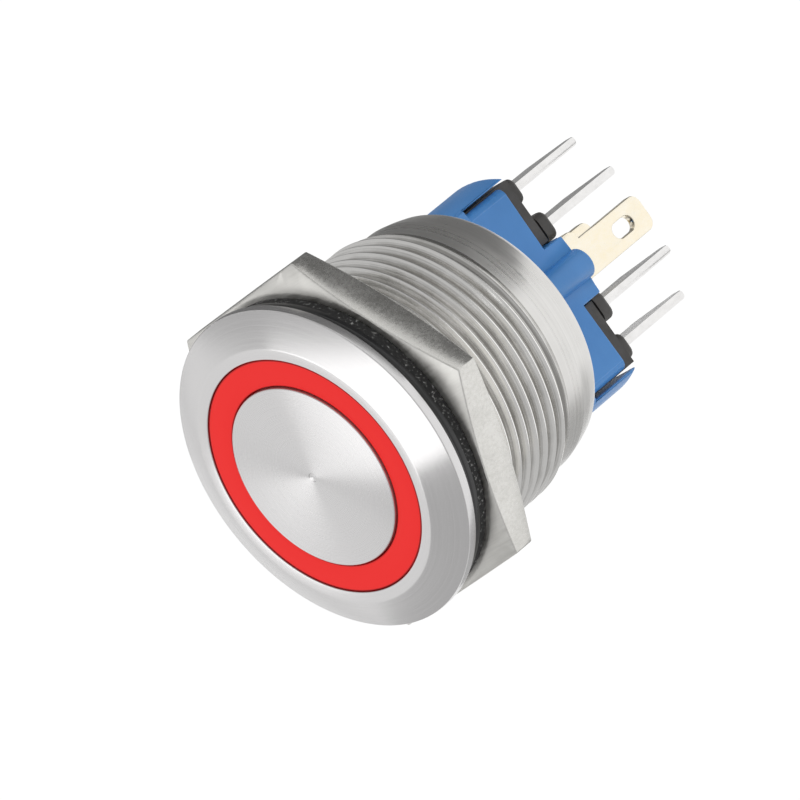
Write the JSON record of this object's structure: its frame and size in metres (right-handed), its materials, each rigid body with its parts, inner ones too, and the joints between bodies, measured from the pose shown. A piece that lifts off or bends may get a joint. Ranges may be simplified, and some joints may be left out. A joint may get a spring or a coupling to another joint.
{
  "type": "illuminated metal push button",
  "caption": "Round metal panel push button with a flush cap, red ring lens, hex locknut, threaded barrel and a blue base with blade terminals.",
  "frame": {"origin": "centre of the bezel's underside, in the plane that meets the front of the panel", "axes": "+Z out of the face along the push axis; -Y towards the side of the base that carries the moulded rib"},
  "size_m": [0.026, 0.0288, 0.0367],
  "materials": {
    "steel": "turned and polished stainless steel",
    "cap_steel": "finely turned stainless steel",
    "nickel": "satin nickel plate",
    "gasket": "smooth black rubber",
    "washer": "matt black",
    "lens": "translucent red plastic",
    "white_plastic": "natural nylon",
    "black_plastic": "fine matt moulded plastic",
    "blue_plastic": "satin moulded blue plastic",
    "board": "solder mask",
    "led": "clear moulded lamp chips",
    "resistor": "glazed chip",
    "copper": "bright copper alloy",
    "spring_steel": "drawn spring wire",
    "silver": "silver plate",
    "gold": "gold plate"
  },
  "bodies": {
    "switch_body": {"bezel_barrel": "steel", "rubber_gasket": "gasket", "ring_lens": "lens", "guide_sleeve": "white_plastic", "stem_seal": "gasket", "led_board": "board", "led_chips": "led", "led_resistor": "resistor", "lamp_lead_front": "copper", "lamp_lead_rear": "copper", "return_spring": "spring_steel", "no_rivets": "silver", "base_housing": "blue_plastic", "nc_block": "black_plastic", "no_block": "black_plastic", "terminal_nc_inner": "silver", "terminal_nc_outer": "silver", "terminal_no_inner": "silver", "terminal_no_outer": "silver", "terminal_lamp_front": "gold", "terminal_lamp_rear": "gold"},
    "cap": {"button_cap": "cap_steel", "stem_clip": "spring_steel", "plunger": "black_plastic", "nc_bridge": "copper", "no_bridge": "copper"},
    "washer": {"flat_washer": "washer"},
    "nut": {"hex_nut": "nickel"}
  },
  "joints": [
    {"name": "cap_press", "type": "slide", "parent": "switch_body", "child": "cap", "axis": [0, 0, -1], "range_m": [0, 0.002], "stiffness_N_per_m": 300, "springref_m": -0.006, "deforming": ["return_spring"]},
    {"name": "nut_travel", "type": "slide", "parent": "switch_body", "child": "washer", "axis": [0, 0, -1], "range_m": [0, 0.01]},
    {"name": "nut_turn", "type": "hinge", "parent": "washer", "child": "nut", "pos_m": [0, 0, 0], "axis": [0, 0, -1], "range_deg": [0, 3600]}
  ],
  "couplings": [
    {"joint": "nut_travel", "follows": "nut_turn", "m_per_rad": 0.00015915}
  ]
}
